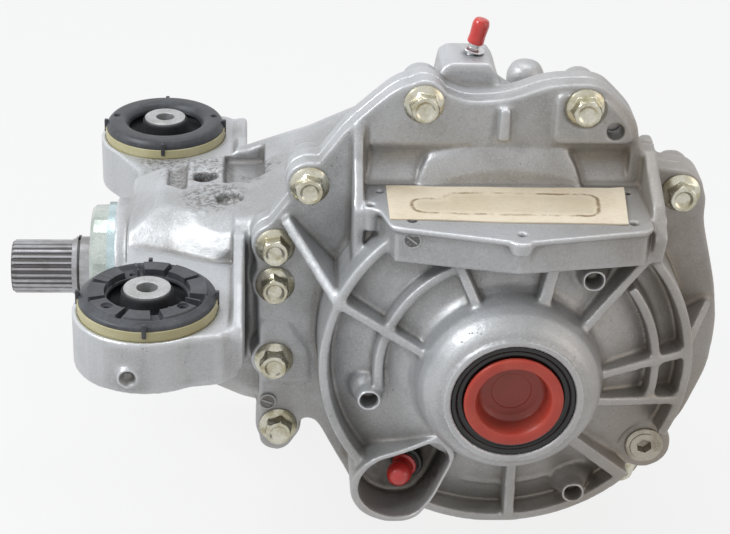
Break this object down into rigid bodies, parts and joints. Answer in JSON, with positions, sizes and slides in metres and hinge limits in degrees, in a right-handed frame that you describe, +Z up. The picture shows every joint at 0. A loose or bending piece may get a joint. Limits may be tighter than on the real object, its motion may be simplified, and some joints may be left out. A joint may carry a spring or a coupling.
{
  "type": "rear differential",
  "caption": "Car rear differential: cast casing and ribbed side cover round a bevel gear set and clutch pack, with rubber-bushed front arms and a splined input.",
  "frame": {"origin": "midway between the top faces of the two front bush sleeves, where the car's subframe bolts down", "axes": "+X towards the back of the differential, away from the input; +Y along the axle to the far output; +Z up"},
  "size_m": [0.4456, 0.3415, 0.3288],
  "materials": {
    "casing_aluminium": "cast, blasted, with machined faces",
    "cover_aluminium": "cast, blasted, with machined faces",
    "zinc_bolt": "yellowish zinc plating",
    "plug_steel": "zinc plating",
    "plated_ring": "silver-green zinc plating",
    "blue_zinc": "bluish zinc plating",
    "shaft_steel": "machined and ground",
    "sleeve_steel": "turned end face",
    "bearing_steel": "ground",
    "gear_steel": "machined and lapped",
    "dark_steel": "phosphated",
    "case_iron": "machined casting",
    "spring_steel": "tempered",
    "tube_steel": "bright tube",
    "bush_rubber": "matt black",
    "seal_rubber": "smooth black",
    "stop_plastic": "glass-filled black",
    "collar_plastic": "tan, satin",
    "red_plastic": "flexible, satin",
    "orange_plastic": "moulded, satin",
    "friction_lining": "bonded lining",
    "washer_bronze": "plain bearing bronze",
    "card": "plain card, oil-stained"
  },
  "bodies": {
    "root": {"main_casing": "casing_aluminium", "side_cover": "cover_aluminium", "cover_bolts": "zinc_bolt", "cover_dowels": "bearing_steel", "filler_plug": "plug_steel", "drain_plug": "plug_steel", "vent_tube": "tube_steel", "vent_cap": "red_plastic", "port_fitting": "dark_steel", "port_cap": "red_plastic", "near_output_seal": "seal_rubber", "far_output_seal": "seal_rubber", "near_output_cap": "orange_plastic", "far_output_cap": "orange_plastic", "pad_card": "card", "near_bush_sleeve": "sleeve_steel", "near_bush_rubber": "bush_rubber", "near_bush_shell": "collar_plastic", "near_bush_stop": "stop_plastic", "far_bush_sleeve": "sleeve_steel", "far_bush_rubber": "bush_rubber", "far_bush_shell": "collar_plastic", "far_bush_stop": "stop_plastic", "lock_ring": "plated_ring", "lock_ring_washer": "blue_zinc", "pinion_seal": "seal_rubber", "head_outer_race": "bearing_steel", "tail_outer_race": "bearing_steel", "near_outer_race": "bearing_steel", "far_outer_race": "bearing_steel", "bearing_shims": "spring_steel"},
    "pinion": {"pinion_shaft": "shaft_steel", "head_inner_race": "bearing_steel", "tail_inner_race": "bearing_steel", "bearing_spacer": "spring_steel", "pinion_nut": "dark_steel", "retaining_ring": "dark_steel"},
    "head_cage": {"head_rollers": "bearing_steel"},
    "tail_cage": {"tail_rollers": "bearing_steel"},
    "near_cage": {"near_rollers": "bearing_steel"},
    "far_cage": {"far_rollers": "bearing_steel"},
    "carrier": {"ring_gear": "gear_steel", "ring_gear_bolts": "dark_steel", "differential_case": "case_iron", "clutch_drum": "case_iron", "cross_pin": "bearing_steel", "near_inner_race": "bearing_steel", "far_inner_race": "bearing_steel", "steel_plates": "spring_steel", "disc_spring": "spring_steel", "side_washers": "washer_bronze", "planet_washers": "washer_bronze"},
    "near_side": {"near_side_gear": "gear_steel", "friction_discs": "friction_lining"},
    "far_side": {"far_side_gear": "gear_steel"},
    "upper_planet": {"upper_planet_gear": "gear_steel"},
    "lower_planet": {"lower_planet_gear": "gear_steel"}
  },
  "joints": [
    {"name": "carrier_spin", "type": "hinge", "parent": "root", "child": "carrier", "pos_m": [0.215, 0, -0.0525], "axis": [0, 1, 0], "continuous": true},
    {"name": "pinion_spin", "type": "hinge", "parent": "root", "child": "pinion", "pos_m": [0.215, 0, -0.0525], "axis": [1, 0, 0], "continuous": true},
    {"name": "near_side_spin", "type": "hinge", "parent": "carrier", "child": "near_side", "pos_m": [0.215, 0, -0.0525], "axis": [0, 1, 0], "continuous": true},
    {"name": "far_side_spin", "type": "hinge", "parent": "carrier", "child": "far_side", "pos_m": [0.215, 0, -0.0525], "axis": [0, 1, 0], "continuous": true},
    {"name": "upper_planet_spin", "type": "hinge", "parent": "carrier", "child": "upper_planet", "pos_m": [0.215, 0, -0.0525], "axis": [0, 0, 1], "continuous": true},
    {"name": "lower_planet_spin", "type": "hinge", "parent": "carrier", "child": "lower_planet", "pos_m": [0.215, 0, -0.0525], "axis": [0, 0, 1], "continuous": true},
    {"name": "near_cage_spin", "type": "hinge", "parent": "root", "child": "near_cage", "pos_m": [0.215, 0, -0.0525], "axis": [0, 1, 0], "continuous": true},
    {"name": "far_cage_spin", "type": "hinge", "parent": "root", "child": "far_cage", "pos_m": [0.215, 0, -0.0525], "axis": [0, 1, 0], "continuous": true},
    {"name": "head_cage_spin", "type": "hinge", "parent": "root", "child": "head_cage", "pos_m": [0.215, 0, -0.0525], "axis": [1, 0, 0], "continuous": true},
    {"name": "tail_cage_spin", "type": "hinge", "parent": "root", "child": "tail_cage", "pos_m": [0.215, 0, -0.0525], "axis": [1, 0, 0], "continuous": true}
  ],
  "couplings": [
    {"joint": "pinion_spin", "follows": "carrier_spin", "ratio": -3.1538},
    {"joint": "far_side_spin", "follows": "near_side_spin", "ratio": -1},
    {"joint": "upper_planet_spin", "follows": "near_side_spin", "ratio": 1.6},
    {"joint": "lower_planet_spin", "follows": "near_side_spin", "ratio": -1.6},
    {"joint": "near_cage_spin", "follows": "carrier_spin", "ratio": 0.44239},
    {"joint": "far_cage_spin", "follows": "carrier_spin", "ratio": 0.44239},
    {"joint": "head_cage_spin", "follows": "carrier_spin", "ratio": -1.3453},
    {"joint": "tail_cage_spin", "follows": "carrier_spin", "ratio": -1.3598}
  ]
}
